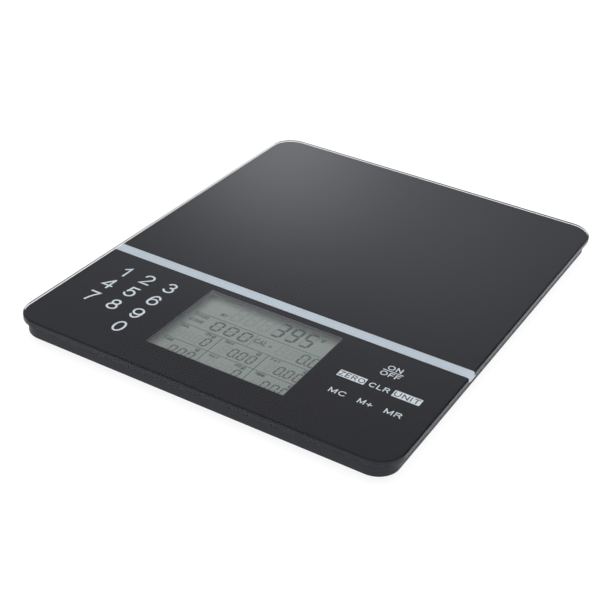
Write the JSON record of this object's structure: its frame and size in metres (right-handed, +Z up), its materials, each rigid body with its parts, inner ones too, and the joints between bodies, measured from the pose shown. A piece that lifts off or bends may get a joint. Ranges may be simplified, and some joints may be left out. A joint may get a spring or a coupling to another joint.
{
  "type": "kitchen scale",
  "caption": "Slim nutrition kitchen scale: rounded black glass platform with display window, touch keys and a pale band, on a shallow tray with sensing feet and a coin cell door.",
  "frame": {"origin": "centre of the box's bottom face, on the plane the rubber feet stand on", "axes": "+X to the right as the user reads the display, +Y away from the user along the length, +Z up"},
  "size_m": [0.19, 0.236, 0.013],
  "materials": {
    "clear_glass": "polished toughened float glass with ground edges",
    "black_ink": "screen-printed ink seen through the glass",
    "silver_ink": "screen-printed pale silver-blue ink",
    "adhesive": "translucent adhesive bead",
    "black_abs": "fine-grained moulded ABS",
    "foot_abs": "moulded ABS",
    "foot_rubber": "matt rubber",
    "spring_steel": "rolled spring steel",
    "sealant": "white silicone sealant",
    "clamp_plastic": "natural acetal",
    "wire_pvc": "PVC insulation",
    "screw_steel": "zinc-plated steel",
    "bezel_plastic": "dark moulded frame",
    "lcd_glass": "thin display glass",
    "polariser": "polarising film with lit segments",
    "reflector": "rear polariser and reflector",
    "connector_rubber": "striped conductive rubber",
    "board_laminate": "green solder mask on laminate",
    "epoxy": "black resin",
    "component_black": "moulded packages",
    "cell_can": "nickel-plated steel",
    "contact_plate": "tinned spring steel",
    "ribbon_film": "white polyester ribbon"
  },
  "bodies": {
    "housing": {"battery_wires": "wire_pvc", "black_backprint": "black_ink", "board_components": "component_black", "board_screws": "screw_steel", "cell_clamp_back_left": "clamp_plastic", "cell_clamp_back_right": "clamp_plastic", "cell_clamp_front_left": "clamp_plastic", "cell_clamp_front_right": "clamp_plastic", "cell_wires_back_left": "wire_pvc", "cell_wires_back_right": "wire_pvc", "cell_wires_front_left": "wire_pvc", "cell_wires_front_right": "wire_pvc", "clamp_screws": "screw_steel", "coin_cell": "cell_can", "controller_blob": "epoxy", "glass_adhesive": "adhesive", "glass_platform": "clear_glass", "lcd_bezel": "bezel_plastic", "lcd_front_glass": "lcd_glass", "lcd_front_polariser": "polariser", "lcd_rear_glass": "lcd_glass", "lcd_reflector": "reflector", "lcd_rubber_connectors": "connector_rubber", "load_cell_back_left": "spring_steel", "load_cell_back_right": "spring_steel", "load_cell_front_left": "spring_steel", "load_cell_front_right": "spring_steel", "main_board": "board_laminate", "negative_contact": "contact_plate", "positive_contact": "contact_plate", "silver_band": "silver_ink", "strain_gauge_back_left": "sealant", "strain_gauge_back_right": "sealant", "strain_gauge_front_left": "sealant", "strain_gauge_front_right": "sealant", "touch_board_left": "board_laminate", "touch_board_right": "board_laminate", "touch_chips": "component_black", "touch_ribbon_left": "ribbon_film", "touch_ribbon_right": "ribbon_film", "tray": "black_abs"},
    "foot_front_left": {"foot_cup_front_left": "foot_abs", "foot_pad_front_left": "foot_rubber"},
    "foot_back_left": {"foot_cup_back_left": "foot_abs", "foot_pad_back_left": "foot_rubber"},
    "foot_front_right": {"foot_cup_front_right": "foot_abs", "foot_pad_front_right": "foot_rubber"},
    "foot_back_right": {"foot_cup_back_right": "foot_abs", "foot_pad_back_right": "foot_rubber"},
    "door": {"battery_door": "black_abs"}
  },
  "joints": [
    {"name": "foot_press_front_left", "type": "slide", "parent": "housing", "child": "foot_front_left", "axis": [0, 0, 1], "range_m": [0, 0.0003], "stiffness_N_per_m": 150, "springref_m": -0.012},
    {"name": "foot_press_back_left", "type": "slide", "parent": "housing", "child": "foot_back_left", "axis": [0, 0, 1], "range_m": [0, 0.0003], "stiffness_N_per_m": 150, "springref_m": -0.012},
    {"name": "foot_press_front_right", "type": "slide", "parent": "housing", "child": "foot_front_right", "axis": [0, 0, 1], "range_m": [0, 0.0003], "stiffness_N_per_m": 150, "springref_m": -0.012},
    {"name": "foot_press_back_right", "type": "slide", "parent": "housing", "child": "foot_back_right", "axis": [0, 0, 1], "range_m": [0, 0.0003], "stiffness_N_per_m": 150, "springref_m": -0.012},
    {"name": "battery_door_hinge", "type": "hinge", "parent": "housing", "child": "door", "pos_m": [0, 0.0564, 0.003], "axis": [1, 0, 0], "range_deg": [0, 75]}
  ]
}
